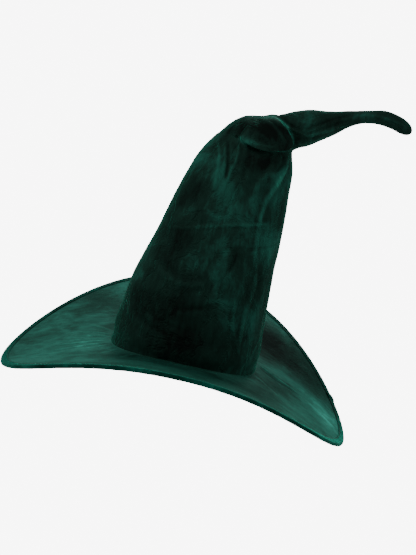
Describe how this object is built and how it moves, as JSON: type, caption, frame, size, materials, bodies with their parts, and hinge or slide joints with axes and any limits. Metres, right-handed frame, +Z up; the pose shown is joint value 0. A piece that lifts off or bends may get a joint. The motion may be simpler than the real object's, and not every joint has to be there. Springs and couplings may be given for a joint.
{
  "type": "witch hat",
  "caption": "Tall soft velvet cone hat with a wide wired brim and a wired, bendable folded-over tip.",
  "frame": {"origin": "middle of the head opening, at the height where the crown's wall meets the brim", "axes": "+Z up the wearer's head, +X to the back of the hat, where the tip falls, +Y to the wearer's right-hand side seen with the front at -X"},
  "size_m": [0.4881, 0.4786, 0.4487],
  "materials": {
    "crown_velvet": "matte",
    "brim_velvet": "matte",
    "binding_velvet": "matte",
    "interlining": "matte",
    "satin_lining": "satin",
    "grosgrain": "matte",
    "label_tape": "satin",
    "fibre_fill": "matte",
    "steel_wire": "satin",
    "black_plastic": "matte"
  },
  "bodies": {
    "crown_and_brim": {"brim_top_velvet": "brim_velvet", "brim_interlining": "interlining", "brim_under_velvet": "brim_velvet", "brim_wire": "steel_wire", "brim_wire_ferrule": "steel_wire", "brim_binding": "binding_velvet", "crown_velvet": "crown_velvet", "crown_interlining": "interlining", "crown_lining": "satin_lining", "sweatband": "grosgrain", "care_label": "label_tape", "tip_wire_anchor": "grosgrain", "crown_wire": "steel_wire"},
    "tip": {"tip_velvet": "crown_velvet", "tip_stuffing": "fibre_fill", "tip_wire": "steel_wire"},
    "tip_end": {"tip_end_velvet": "crown_velvet", "tip_end_stuffing": "fibre_fill", "tip_end_wire": "steel_wire", "wire_end_cap": "black_plastic"}
  },
  "joints": [
    {"name": "tip_bend", "type": "hinge", "parent": "crown_and_brim", "child": "tip", "pos_m": [0.082, 0, 0.324], "axis": [0, -1, 0], "range_deg": [-40, 60]},
    {"name": "tip_curl", "type": "hinge", "parent": "tip", "child": "tip_end", "pos_m": [0.163, 0, 0.3604], "axis": [0, -1, 0], "range_deg": [-45, 60]}
  ]
}
